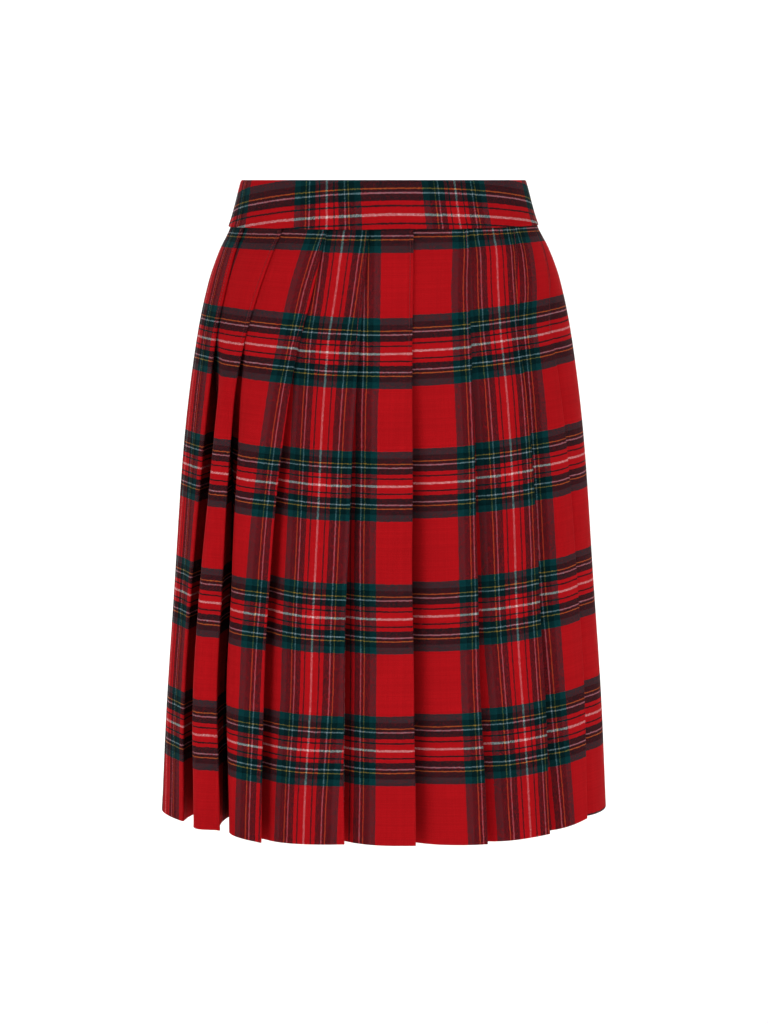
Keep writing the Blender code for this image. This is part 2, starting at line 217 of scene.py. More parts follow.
FRONT_PLACES = (
    Place(35.0, 35.0, 35.0, 35.0, 35.0, 36.0),
    Place(74.0, 73.0, 66.0, 60.0, 54.0, 62.0),
    Place(104.0, 108.5, 106.0, 107.0, 108.5, 112.0),
    Place(140.0, 143.0, 145.5, 145.5, 146.5, 154.8),
    Place(177.5, 177.0, 177.0, 179.0, 181.5, 185.0),
    Place(221.0, 221.5, 222.0, 221.0, 222.0, 223.0),
    Place(263.5, 257.0, 254.5, 257.0, 260.5, 257.0),
    Place(287.0, 289.5, 286.5, 289.0, 296.5, 286.0),
    Place(300.0, 312.0, 318.0, 322.0, 328.0, 334.0),
)
FULL_TURN_PLACE = Place(354.6, 354.6, 354.6, 354.6, 354.6, 354.6)
HIDDEN_PLACES = 7


class Hang(NamedTuple):
    """How much lower a pleat's tartan hangs than level at five levels, and how much lower its hem."""

    waist: float = 0.0
    hip: float = 0.0
    seat: float = 0.0
    thigh: float = 0.0
    knee: float = 0.0
    hem: float = 0.0


HANGS = (
    Hang(),
    Hang(),
    Hang(-1.0, -1.5, 2.0, 3.5, 1.4, 5.0),
    Hang(0.0, 0.0, 0.0, 0.0, 0.8, 0.5),
    Hang(0.0, 0.5, 0.0, 0.0, -0.4, 1.5),
    Hang(-2.5, -1.8, -1.5, -0.5, -0.2, 4.5),
    Hang(-3.0, -3.0, -2.5, -1.8, -1.5, 4.0),
    Hang(-3.5, -2.6, -3.9, -6.0, -2.0, -1.0),
    Hang(-3.0, -2.3, -3.7, -5.0, -4.6, -1.0),
    Hang(-1.0, -1.0, -1.5, -2.0, -2.5, 1.5),
    Hang(0.0, 0.5, 1.0, -1.0, -0.5, 0.0),
    Hang(0.0, -1.0, -1.5, 1.0, 2.0, 2.5),
    Hang(hem=0.5),
    Hang(0.0, 1.0, 1.5, 0.5, 2.0, 2.0),
    Hang(0.0, -0.5, -2.0, -1.0, 0.5, -0.5),
    Hang(0.0, 0.5, 1.0, 2.0, -1.0, 1.0),
)
CENTRE_BACK_PLEAT = 13
HANG_LEVELS = (BAND_HEIGHT, 153.3, 271.2, 388.9, 506.2)


def between(first: Sequence[float], last: Sequence[float], steps: int, row: type) -> list:
    """Part the way from one table row to another into even steps, without the two ends."""
    return [row(*(a + (b - a) * i / steps for a, b in zip(first, last))) for i in range(1, steps)]


def moved(first: Sequence[float], by: Sequence[float], sign: int, row: type) -> tuple:
    """Add a full turn to a table row, or take it away."""
    return row(*(a + sign * b for a, b in zip(first, by)))


def all_folds() -> list[Fold]:
    """List the folds in order round the skirt.

    Returns:
        The sixteen folds, with the last one moved back a turn in front of the first.
    """
    back = between(FRONT_FOLDS[-1], CENTRE_BACK_FOLD, FOLDS_FRONT_TO_CENTRE + 1, Fold) + [CENTRE_BACK_FOLD]
    back += between(CENTRE_BACK_FOLD, LAST_FOLD, FOLDS_CENTRE_TO_LAST + 1, Fold) + [LAST_FOLD]
    return [moved(LAST_FOLD, FULL_TURN, -1, Fold), *FRONT_FOLDS, *back]


def all_places() -> list[Place]:
    """List the folds' places in the tartan, in the order of the folds.

    Returns:
        The sixteen places, with the last one moved back a turn in front of the first.
    """
    turned = moved(FRONT_PLACES[0], FULL_TURN_PLACE, 1, Place)
    back = between(FRONT_PLACES[-1], turned, HIDDEN_PLACES + 1, Place)
    return [moved(back[-1], FULL_TURN_PLACE, -1, Place), *FRONT_PLACES, *back]


class Crease(NamedTuple):
    """A soft trough (negative height) or ridge in the hanging cloth.

    It runs from its top to its bottom drop and leans by so many degrees in each 100 mm. Its width is in
    degrees too.
    """

    angle: float
    lean: float
    top: float
    bottom: float
    width: float
    height: float


CREASES = (
    Crease(-74, 1.0, 210, 600, 5.0, -2.2),
    Crease(-52, 1.5, 330, 620, 4.0, 1.4),
    Crease(-37, 1.2, 190, 520, 3.5, -1.5),
    Crease(-20, 0.8, 260, 600, 3.0, 1.3),
    Crease(-16, 0.3, 60, 170, 4.0, -0.8),
    Crease(-1, 0.2, 300, 620, 4.5, 1.2),
    Crease(17, 0.4, 380, 630, 3.5, -1.4),
    Crease(21, 0.3, 90, 220, 5.0, 0.8),
    Crease(36, 0.6, 250, 560, 3.0, -1.3),
    Crease(58, -0.3, 180, 500, 4.0, 1.5),
    Crease(74, -0.5, 300, 620, 5.0, -2.0),
    Crease(104, 0.4, 200, 610, 5.0, 1.8),
    Crease(128, 0.2, 320, 600, 4.0, -1.8),
    Crease(151, 0.3, 150, 430, 5.0, 1.2),
    Crease(170, 0.0, 280, 630, 4.5, -1.6),
    Crease(208, 0.3, 240, 560, 4.0, 1.6),
    Crease(226, -0.2, 350, 620, 5.0, -2.1),
    Crease(247, 0.5, 170, 480, 4.0, 1.3),
    Crease(268, 0.6, 300, 610, 5.0, -1.7),
)
LEAN_LENGTH = 100.0
CREASE_TAPER = 1.3


def crease_height(degrees: np.ndarray, drop: float) -> np.ndarray:
    """Add up the creases at one drop.

    Args:
        degrees: Ellipse angles.
        drop: The drop below the waistband's top edge.

    Returns:
        The height that the creases add at each angle, in millimetres.
    """
    height = np.zeros_like(degrees)
    for crease in CREASES:
        if not crease.top < drop < crease.bottom:
            continue
        length = (drop - crease.top) / (crease.bottom - crease.top)
        centre = crease.angle + crease.lean * (drop - crease.top) / LEAN_LENGTH
        away = (degrees - centre + 180) % 360 - 180
        along = math.sin(math.pi * length) ** CREASE_TAPER
        height += crease.height * along * np.exp(-((away / crease.width) ** 2))
    return height


class Ring:
    """The level ring at one drop, measured along its length from the centre front towards +X."""

    def __init__(self, drop: float) -> None:
        """Read the section at this drop and measure the ring.

        Args:
            drop: The drop below the waistband's top edge.
        """
        drops = [row.drop for row in SECTIONS]
        self.drop = float(drop)
        self.section = Section(*(smooth_through(drops, column, self.drop) for column in zip(*SECTIONS)))
        self.degrees = np.arange(361.0)
        angles = np.radians(self.degrees)
        across = self.section.half_width * np.cos(angles)
        deep = self.depths(angles) * np.sin(angles)
        speed = np.hypot(across, deep)
        steps = (speed[1:] + speed[:-1]) / 2 * math.radians(1)
        self.lengths = np.concatenate(([0.0], np.cumsum(steps)))
        self.girth = self.lengths[-1]

    def depths(self, angles: np.ndarray) -> np.ndarray:
        """Give the front depth on the front half of the ring and the back depth on the other."""
        return np.where(np.cos(angles) >= 0, self.section.front_depth, self.section.back_depth)

    def along(self, degrees: float) -> float:
        """Give the length along the ring at an ellipse angle."""
        turns, rest = divmod(degrees, 360.0)
        return turns * self.girth + float(np.interp(rest, self.degrees, self.lengths))

    def angles_at(self, along: np.ndarray) -> np.ndarray:
        """Give the ellipse angles, in degrees, at lengths along the ring."""
        return np.interp(np.asarray(along) % self.girth, self.lengths, self.degrees)

    def points(self, along: np.ndarray, out: np.ndarray, extra_drop: np.ndarray | float = 0.0) -> np.ndarray:
        """Place points on the cloth.

        Args:
            along: Lengths along the ring.
            out: Heights out of the ring.
            extra_drop: How much lower each point hangs than the ring.

        Returns:
            An array of points in metres.
        """
        angles = np.radians(self.angles_at(along))
        sine, cosine = np.sin(angles), np.cos(angles)
        half_width = self.section.half_width
        depth = self.depths(angles)
        normal = np.hypot(depth * sine, half_width * cosine)
        rise = np.where(sine > 0, self.section.left_rise, self.section.right_rise) * sine * sine
        x = half_width * sine + out * depth * sine / normal
        y = -depth * cosine - out * half_width * cosine / normal
        z = ORIGIN_DROP - self.drop + rise - extra_drop
        return np.stack([x, y, z], axis=-1) * MM


def add_object(name: str, data: ID) -> Object:
    """Add an object to the scene.

    Args:
        name: The object's name.
        data: Its mesh, light or camera.

    Returns:
        The object, at the origin.
    """
    thing = bpy.data.objects.new(name, data)
    bpy.context.scene.collection.objects.link(thing)
    return thing


def cloth_from_rows(name: str, right_rows: list[np.ndarray], wrong_rows: list[np.ndarray],
                    cloth_rows: list[np.ndarray], material: Material) -> Object:
    """Make a closed cloth wall from rows of points on its right side and on its wrong side.

    Args:
        name: The piece's name.
        right_rows: Right-side points, row by row down the cloth, each row towards +X in front.
        wrong_rows: Wrong-side points, as many.
        cloth_rows: The place of each point in the flat cloth, in metres.
        material: The cloth.

    Returns:
        The piece, with its UV map "cloth".
    """
    right, wrong, cloth = np.array(right_rows), np.array(wrong_rows), np.array(cloth_rows)
    rows, columns = right.shape[:2]
    count = rows * columns
    vertices = np.concatenate([right.reshape(-1, 3), wrong.reshape(-1, 3)])
    index = np.arange(count).reshape(rows, columns)
    a, b, c, d = index[:-1, :-1], index[1:, :-1], index[1:, 1:], index[:-1, 1:]
    faces = [np.stack([a, b, c, d], -1).reshape(-1, 4), np.stack([d, c, b, a], -1).reshape(-1, 4) + count]
    # The four rims join the two sides: top, hem, first column and last column.
    for start, end in ((index[0, :-1], index[0, 1:]), (index[-1, 1:], index[-1, :-1]),
                       (index[1:, 0], index[:-1, 0]), (index[:-1, -1], index[1:, -1])):
        faces.append(np.stack([start, end, end + count, start + count], -1))
    quads = np.concatenate(faces)
    mesh = bpy.data.meshes.new(name)
    mesh.from_pydata(vertices.tolist(), [], quads.tolist())
    layer = mesh.uv_layers.new(name="cloth")
    both = np.concatenate([cloth.reshape(-1, 2), cloth.reshape(-1, 2)])
    layer.data.foreach_set("uv", both[quads.reshape(-1)].reshape(-1))
    mesh.shade_smooth()
    mesh.set_sharp_from_angle(angle=math.radians(SHARP_DEGREES))
    mesh.materials.append(material)
    return add_object(name, mesh)


def guide_object(name: str, lines: Sequence[np.ndarray]) -> Object:
    """Make a mesh of open lines, for Geometry Nodes to follow.

    Args:
        name: The object's name.
        lines: The points of each line, in metres.

    Returns:
        The object.
    """
    vertices: list[list[float]] = []
    edges: list[tuple[int, int]] = []
    for line in lines:
        start = len(vertices)
        vertices += line.tolist()
        edges += [(start + i, start + i + 1) for i in range(len(line) - 1)]
    mesh = bpy.data.meshes.new(name)
    mesh.from_pydata(vertices, edges, [])
    return add_object(name, mesh)


class Yarn(Enum):
    """The dyed yarns of the tartan, as sRGB hex."""

    RED = "B41219"
    GREEN = "07373A"
    BLACK = "021E21"
    WHITE = "E2CECA"
    PALE = "8E9AA3"
    YELLOW = "9C772C"


class Band(NamedTuple):
    """A band of one yarn, from the band before it to this distance from the white line."""

    yarn: Yarn
    ends_at: float


HALF_SETT = (
    Band(Yarn.WHITE, 0.85),
    Band(Yarn.RED, 5.95),
    Band(Yarn.BLACK, 7.35),
    Band(Yarn.RED, 10.4),
    Band(Yarn.BLACK, 15.9),
    Band(Yarn.PALE, 16.95),
    Band(Yarn.BLACK, 19.2),
    Band(Yarn.YELLOW, 20.2),
    Band(Yarn.BLACK, 25.0),
    Band(Yarn.GREEN, 31.0),
    Band(Yarn.RED, 59.1),
)
SETT_REPEAT = 2 * HALF_SETT[-1].ends_at


def finish_surface(tree: NodeTree, colour: Sequence[float] | NodeSocket, level: Node, height: Node,
                   depth: float, strength: float, roughness: float) -> Node:
    """Give a material's shader its colour, its relief and its roughness.

    Args:
        tree: The material's node tree.
        colour: The colour, or the socket that gives it.
        level: The node that makes the colour lighter or darker.
        height: The node that raises the surface.
        depth: The height of the relief in millimetres.
        strength: How strongly the relief turns the light.
        roughness: The roughness.

    Returns:
        The shader, for what else the finish sets.
    """
    shader = tree.nodes["Principled BSDF"]
    tinted = add_node(tree, "ShaderNodeVectorMath", {0: colour, "Scale": level}, operation="SCALE")
    bump = add_node(tree, "ShaderNodeBump", {"Height": height, "Strength": strength, "Distance": depth * MM})
    tree.links.new(tinted.outputs[0], shader.inputs["Base Color"])
    tree.links.new(bump.outputs[0], shader.inputs["Normal"])
    shader.inputs["Roughness"].default_value = roughness
    return shader


def new_material(name: str) -> Material:
    """Start a material that is made of nodes.

    Args:
        name: The material's name.

    Returns:
        The material.
    """
    material = bpy.data.materials.new(name)
    material.use_nodes = True
    return material


@dataclass(frozen=True)
class TartanWool:
    """Brushed wool flannel, yarn-dyed and woven in a 2/2 twill: matt, soft-edged stripes and a short nap.

    Sizes are in millimetres, and noise scales in cells to a metre. The thread pitch is that of a real
    flannel, and the nap is drawn a little coarser than real fibres, so that it shows.
    """

    name: str = "wool_flannel_brushed_tartan"
    thread_pitch: float = 0.55
    thread_unevenness: float = 0.10
    twill_repeat: int = 4
    weft_over_from: float = 0.4
    weft_share: float = 0.60
    twill_contrast: float = 0.09
    mix_power: float = 0.28
    waver: float = 1.2
    waver_scale: float = 16.0
    fray: float = 1.3
    fray_scale: float = 420.0
    speckle_size: float = 1.3
    speckle: float = 0.24
    nap_size: float = 1.3
    cloud_scale: float = 22.0
    shade: float = 0.10
    relief: float = 0.16
    relief_strength: float = 0.5
    roughness: float = 0.93
    specular: float = 0.04
    sheen: float = 0.02
    sheen_roughness: float = 0.5
    sheen_colour: str = "D98A86"

    def flat_place(self, tree: NodeTree, worn: NodeSocket) -> Node:
        """Read the place in the flat cloth, and let it stray as the threads do.

        Args:
            tree: The material's node tree.
            worn: The place on the worn skirt.

        Returns:
            The node that gives the distances across and down the flat cloth.
        """
        place = add_node(tree, "ShaderNodeUVMap", uv_map="cloth").outputs[0]
        # Woven stripes are never ruled straight: they waver over centimetres and fray by half a thread.
        for scale, amount in ((self.waver_scale, self.waver), (self.fray_scale, self.fray)):
            noise = add_node(tree, "ShaderNodeTexNoise", {"Vector": worn, "Scale": scale, "Detail": 2.0})
            place = add_node(tree, "ShaderNodeVectorMath",
                             {0: noise.outputs["Color"], 1: (amount * MM,) * 3, 2: place},
                             operation="MULTIPLY_ADD").outputs[0]
        back = -(self.waver + self.fray) / 2 * MM
        centred = add_node(tree, "ShaderNodeVectorMath", {0: place, 1: (back, back, 0.0)}, operation="ADD")
        return add_node(tree, "ShaderNodeSeparateXYZ", {0: centred})

    def stripes(self, tree: NodeTree, distance: NodeSocket) -> NodeSocket:
        """Colour one set of threads by the distance across it.

        Args:
            tree: The material's node tree.
            distance: The distance across the threads in metres, from a white line.

        Returns:
            The yarn colour.
        """
        turn = add_node(tree, "ShaderNodeMath", {0: distance, 1: 1 / (SETT_REPEAT * MM)},
                        operation="MULTIPLY")
        folded = add_node(tree, "ShaderNodeMath", {0: turn, 1: 0.5}, operation="PINGPONG")
        share = add_node(tree, "ShaderNodeMath", {0: folded, 1: 2.0}, operation="MULTIPLY")
        ramp = add_node(tree, "ShaderNodeValToRGB", {0: share})
        ramp.color_ramp.interpolation = "CONSTANT"
        stops = ramp.color_ramp.elements
        stops.remove(stops[1])
        stops[0].color = linear(HALF_SETT[0].yarn.value)
        for before, band in zip(HALF_SETT, HALF_SETT[1:]):
            stop = stops.new(before.ends_at / HALF_SETT[-1].ends_at)
            stop.color = linear(band.yarn.value)
        return ramp.outputs["Color"]

    def threads(self, tree: NodeTree, distance: NodeSocket) -> tuple[NodeSocket, NodeSocket]:
        """Number one set of threads, and make each a little lighter or darker than its neighbours.

        Args:
            tree: The material's node tree.
            distance: The distance across the threads in metres, from a white line.

        Returns:
            The threads' colour and their numbers.
        """
        scaled = add_node(tree, "ShaderNodeMath", {0: distance, 1: 1 / (self.thread_pitch * MM)},
                          operation="MULTIPLY")
        number = add_node(tree, "ShaderNodeMath", {0: scaled}, operation="FLOOR").outputs[0]
        chance = add_node(tree, "ShaderNodeTexWhiteNoise", {"W": number}, noise_dimensions="1D")
        level = add_node(tree, "ShaderNodeMapRange", {
            "Value": chance.outputs["Value"],
            "To Min": 1 - self.thread_unevenness, "To Max": 1 + self.thread_unevenness,
        })
        coloured = add_node(tree, "ShaderNodeVectorMath",
                            {0: self.stripes(tree, distance), "Scale": level}, operation="SCALE")
        return coloured.outputs[0], number

    def weft_over(self, tree: NodeTree, warp_number: NodeSocket, weft_number: NodeSocket) -> NodeSocket:
        """Cross the threads in a twill, where the weft runs over two warp threads and under two.

        Args:
            tree: The material's node tree.
            warp_number: The number of the warp thread.
            weft_number: The number of the weft thread.

        Returns:
            1 where the weft is over the warp, and 0 where it is under it.
        """
        diagonal = add_node(tree, "ShaderNodeMath", {0: warp_number, 1: weft_number}, operation="ADD")
        turns = add_node(tree, "ShaderNodeMath", {0: diagonal, 1: 1 / self.twill_repeat},
                         operation="MULTIPLY")
        # The share steps through 0, 1/4, 1/2 and 3/4, and the weft is over in the last two.
        step = add_node(tree, "ShaderNodeMath", {0: turns}, operation="FRACT")
        over = add_node(tree, "ShaderNodeMath", {0: step, 1: self.weft_over_from}, operation="GREATER_THAN")
        return over.outputs[0]

    def mixed(self, tree: NodeTree, warp: NodeSocket, weft: NodeSocket, over: NodeSocket,
              worn: NodeSocket) -> NodeSocket:
        """Mix the colours of the two sets of threads.

        Args:
            tree: The material's node tree.
            warp: The colour of the warp.
            weft: The colour of the weft.
            over: 1 where the weft is over the warp.
            worn: The place on the worn skirt.

        Returns:
            The colour of the cloth.
        """
        share = add_node(tree, "ShaderNodeMapRange", {
            "Value": over,
            "To Min": self.weft_share - self.twill_contrast, "To Max": self.weft_share + self.twill_contrast,
        })
        # The raised nap hides the threads here and there, which shows only where two colours cross.
        hiding = add_node(tree, "ShaderNodeTexNoise", {
            "Vector": worn, "Scale": 1 / (self.speckle_size * MM), "Detail": 2.0, "Roughness": 0.6,
        })
        speckle = add_node(tree, "ShaderNodeMapRange", {
            "Value": hiding, "From Min": 0.25, "From Max": 0.75,
            "To Min": -self.speckle, "To Max": self.speckle,
        })
        share = add_node(tree, "ShaderNodeMath", {0: share, 1: speckle}, operation="ADD")
        # Threads of two colours look darker side by side than their mean, so they mix at a low power.
        low = [add_node(tree, "ShaderNodeGamma", {"Color": colour, "Gamma": self.mix_power})
               for colour in (warp, weft)]
        mix = add_node(tree, "ShaderNodeMix", {0: share, 6: low[0], 7: low[1]}, data_type="RGBA")
        full = add_node(tree, "ShaderNodeGamma", {"Color": mix.outputs[2], "Gamma": 1 / self.mix_power})
        return full.outputs[0]

    def build(self) -> Material:
        """Build the material on the UV map "cloth".

        Returns:
            The material.
        """
        material = new_material(self.name)
        tree = material.node_tree
        worn = add_node(tree, "ShaderNodeTexCoord").outputs["Object"]
        flat = self.flat_place(tree, worn)
        warp, warp_number = self.threads(tree, flat.outputs["X"])
        weft, weft_number = self.threads(tree, flat.outputs["Y"])
        over = self.weft_over(tree, warp_number, weft_number)
        nap = add_node(tree, "ShaderNodeTexNoise", {
            "Vector": worn, "Scale": 1 / (self.nap_size * MM), "Detail": 3.0, "Roughness": 0.7,
        }).outputs[0]
        cloud = add_node(tree, "ShaderNodeTexNoise",
                         {"Vector": worn, "Scale": self.cloud_scale, "Detail": 3.0}).outputs[0]
        shades = [add_node(tree, "ShaderNodeMapRange",
                           {"Value": noise, "To Min": 1 - self.shade, "To Max": 1 + self.shade})
                  for noise in (nap, cloud)]
        level = add_node(tree, "ShaderNodeMath", {0: shades[0], 1: shades[1]}, operation="MULTIPLY")
        # The nap stands higher where a weft thread lifts it.
        height = add_node(tree, "ShaderNodeMath", {0: nap, 1: over, 2: nap}, operation="MULTIPLY_ADD")
        shader = finish_surface(tree, self.mixed(tree, warp, weft, over, worn), level, height,
                                self.relief, self.relief_strength, self.roughness)
        shader.inputs["Specular IOR Level"].default_value = self.specular
        shader.inputs["Sheen Weight"].default_value = self.sheen
        shader.inputs["Sheen Roughness"].default_value = self.sheen_roughness
        shader.inputs["Sheen Tint"].default_value = linear(self.sheen_colour)
        return material


@dataclass(frozen=True)
class PlainFinish:
    """A finish of one colour with a fine grain, in millimetres, in its colour and its surface."""

    name: str
    colour: str
    roughness: float
    metallic: float = 0.0
    grain: float = 0.4
    grain_depth: float = 0.02
    grain_strength: float = 0.4
    contrast: float = 0.12

    def build(self) -> Material:
        """Build the material on object coordinates.

        Returns:
            The material.
        """
        material = new_material(self.name)
        tree = material.node_tree
        place = add_node(tree, "ShaderNodeTexCoord")
        noise = add_node(tree, "ShaderNodeTexNoise", {
            "Vector": place.outputs["Object"], "Scale": 1 / (self.grain * MM), "Detail": 3.0,
        })
        level = add_node(tree, "ShaderNodeMapRange", {
            "Value": noise, "To Min": 1 - self.contrast, "To Max": 1 + self.contrast,
        })
        shader = finish_surface(tree, linear(self.colour)[:3], level, noise, self.grain_depth,
                                self.grain_strength, self.roughness)
        shader.inputs["Metallic"].default_value = self.metallic
        return material


# Board painted matt white: it shows only soft shadows.
STUDIO_BOARD = PlainFinish("painted_board_white", "F9F9F8", 0.9, grain=4.0, contrast=0.01)
# Spun polyester thread: a faint gloss on each stitch, in a dark red that sinks into the wool.
SEWING_THREAD = PlainFinish("polyester_thread_dark_red", "7A1118", 0.6, grain=0.3, contrast=0.2)
# Drawn nylon wire wound into a coil: black, with a soft highlight on each turn.
COIL_NYLON = PlainFinish("nylon_coil_black", "1D191A", 0.42)
# Zinc, die-cast, tumbled and nickel-plated: grey metal that blurs what it mirrors, with faint pits.
NICKEL_PLATING = PlainFinish("zinc_die_cast_nickel_plated", "8A8987", 0.40, 1.0,
                             grain=0.25, grain_depth=0.008, contrast=0.06)


@dataclass(frozen=True)
class WovenTape:
    """Polyester zip tape, woven in narrow ribs: flat, dark and a little glossy on each rib."""

    name: str = "polyester_tape_woven_black"
    colour: str = "231D1F"
    rib_pitch: float = 0.7
    pick_pitch: float = 0.45
    contrast: float = 0.3
    relief: float = 0.06
    relief_strength: float = 0.5
    roughness: float = 0.72

    def build(self) -> Material:
        """Build the material on the UV map "cloth".

        Returns:
            The material.
        """
        material = new_material(self.name)
        tree = material.node_tree
        uv = add_node(tree, "ShaderNodeUVMap", uv_map="cloth")
        axes = add_node(tree, "ShaderNodeSeparateXYZ", {0: uv})
        waves = []
        for axis, pitch in (("X", self.rib_pitch), ("Y", self.pick_pitch)):
            turn = add_node(tree, "ShaderNodeMath", {0: axes.outputs[axis], 1: math.tau / (pitch * MM)},
                            operation="MULTIPLY")
            waves.append(add_node(tree, "ShaderNodeMath", {0: turn}, operation="SINE"))
        weave = add_node(tree, "ShaderNodeMath", {0: waves[0], 1: waves[1]}, operation="MULTIPLY")
        level = add_node(tree, "ShaderNodeMapRange", {
            "Value": weave, "From Min": -1.0, "From Max": 1.0,
            "To Min": 1 - self.contrast, "To Max": 1 + self.contrast,
        })
        finish_surface(tree, linear(self.colour)[:3], level, weave, self.relief, self.relief_strength,
                       self.roughness)
        return material


@dataclass(frozen=True)
class ThreadRow:
    """Short threads at an even pitch along guide lines, in millimetres, made by Geometry Nodes.

    Each thread thins towards its two ends, where it dives into the cloth.
    """

    name: str
    pitch: float
    length: float
    thickness: float
    turn: float = 0.0
    unevenness: float = 0.08
    seed: int = 7
    rings: int = 5
    sides: int = 6
    end_size: float = 0.35
    roundness: float = 0.6

    def one_thread(self, tree: NodeTree, length: NodeSocket, thickness: NodeSocket) -> NodeSocket:
        """Build the thread that repeats, along Z.

        Args:
            tree: The Geometry Nodes tree.
            length: The thread's length in metres.
            thickness: Its thickness in metres.

        Returns:
            The thread's mesh.
        """
        ends = []
        for share in (-0.5, 0.5):
            reach = add_node(tree, "ShaderNodeMath", {0: length, 1: share}, operation="MULTIPLY")
            ends.append(add_node(tree, "ShaderNodeCombineXYZ", {"Z": reach}))
        core = add_node(tree, "GeometryNodeCurvePrimitiveLine", {"Start": ends[0], "End": ends[1]})
        fine = add_node(tree, "GeometryNodeResampleCurve", {"Curve": core, "Count": self.rings})
        along = add_node(tree, "GeometryNodeSplineParameter")
        arch = add_node(tree, "ShaderNodeMath", {0: along.outputs["Factor"], 1: 0.5}, operation="PINGPONG")
        swell = add_node(tree, "ShaderNodeMapRange",
                         {"Value": arch, "From Max": 0.5, "To Min": self.end_size, "To Max": 1.0})
        size = add_node(tree, "ShaderNodeMath", {0: swell, 1: self.roundness}, operation="POWER")
        radius = add_node(tree, "ShaderNodeMath", {0: thickness, 1: 0.5}, operation="MULTIPLY")
        ring = add_node(tree, "GeometryNodeCurvePrimitiveCircle",
                        {"Resolution": self.sides, "Radius": radius})
        thread = add_node(tree, "GeometryNodeCurveToMesh",
                          {"Curve": fine, "Profile Curve": ring, "Scale": size, "Fill Caps": True})
        return thread.outputs[0]

    def tree(self, material: Material) -> NodeTree:
        """Build the tree: points along the lines, and a thread on each.

        Args:
            material: The thread's finish.

        Returns:
            The tree, with named inputs for its sizes.
        """
        tree = bpy.data.node_groups.new(self.name, "GeometryNodeTree")
        face = tree.interface
        face.new_socket(name="Lines", in_out="INPUT", socket_type="NodeSocketGeometry")
        for title in ("Pitch", "Length", "Thickness", "Turn"):
            face.new_socket(name=title, in_out="INPUT", socket_type="NodeSocketFloat")
        face.new_socket(name="Threads", in_out="OUTPUT", socket_type="NodeSocketGeometry")
        given = add_node(tree, "NodeGroupInput").outputs
        paths = add_node(tree, "GeometryNodeMeshToCurve", {0: given["Lines"]})
        points = add_node(tree, "GeometryNodeCurveToPoints",
                          {"Curve": paths, "Length": given["Pitch"]}, mode="LENGTH")
        placed = add_node(tree, "GeometryNodeInstanceOnPoints", {
            "Points": points.outputs["Points"], "Rotation": points.outputs["Rotation"],
            "Instance": self.one_thread(tree, given["Length"], given["Thickness"]),
        })
        chance = add_node(tree, "FunctionNodeRandomValue", {
            0: (-self.unevenness,) * 3, 1: (self.unevenness,) * 3, "Seed": self.seed,
        }, data_type="FLOAT_VECTOR")
        turned = add_node(tree, "ShaderNodeCombineXYZ", {"X": given["Turn"]})
        tilt = add_node(tree, "ShaderNodeVectorMath", {0: chance, 1: turned}, operation="ADD")
        settled = add_node(tree, "GeometryNodeRotateInstances", {"Instances": placed, "Rotation": tilt})
        real = add_node(tree, "GeometryNodeRealizeInstances", {0: settled})
        dyed = add_node(tree, "GeometryNodeSetMaterial", {"Geometry": real, "Material": material})
        add_node(tree, "NodeGroupOutput", {0: dyed})
        return tree

    def build(self, lines: Sequence[np.ndarray], material: Material) -> Object:
        """Lay the threads along the lines and turn them into a plain mesh.

        Args:
            lines: The guide lines, in metres.
            material: The thread's finish.

        Returns:
            The threads, as one piece.
        """
        guide = guide_object(self.name, lines)
        tree = self.tree(material)
        modifier = guide.modifiers.new(self.name, "NODES")
        modifier.node_group = tree
        sizes = {"Pitch": self.pitch * MM, "Length": self.length * MM, "Thickness": self.thickness * MM,
                 "Turn": self.turn}
        for item in tree.interface.items_tree:
            if item.name in sizes:
                modifier[item.identifier] = sizes[item.name]
        dependencies = bpy.context.evaluated_depsgraph_get()
        mesh = bpy.data.meshes.new_from_object(guide.evaluated_get(dependencies))
        guide.modifiers.remove(modifier)
        mesh.name = self.name
        mesh.shade_smooth()
        guide.data = mesh
        return guide


class PleatCut(NamedTuple):
    """A pleat where it crosses one ring: places along the ring, heights out of it, place in the tartan."""

    edge: float
    hidden: float
    bulge: float
    next_rounding: float
    next_at_edge: float
    next_at_inner: float
    sett: float
    droop: float


class Column(NamedTuple):
    """A point in the middle of the cloth on one ring, and the way to the cloth's right side."""

    along: float
    out: float
    side_along: float
    side_out: float
    sett: float
    droop: float


class Wander(NamedTuple):
    """A slow wave in the fold edges: how far apart its turns are, and its size pressed and hanging free."""

    length: float
    shift: float
    pressed: float
    free: float


EDGE_WANDERS = (Wander(61, 2.4, 0.15, 0.3), Wander(23, 1.7, 0.1, 0.15))


def freed(drop: float, length: float) -> float:
    """Give how free a pleat is, from 0 where its stitching ends to 1 at a length below that."""
    return min(1.0, max(0.0, (drop - RELEASE_DROP) / length))


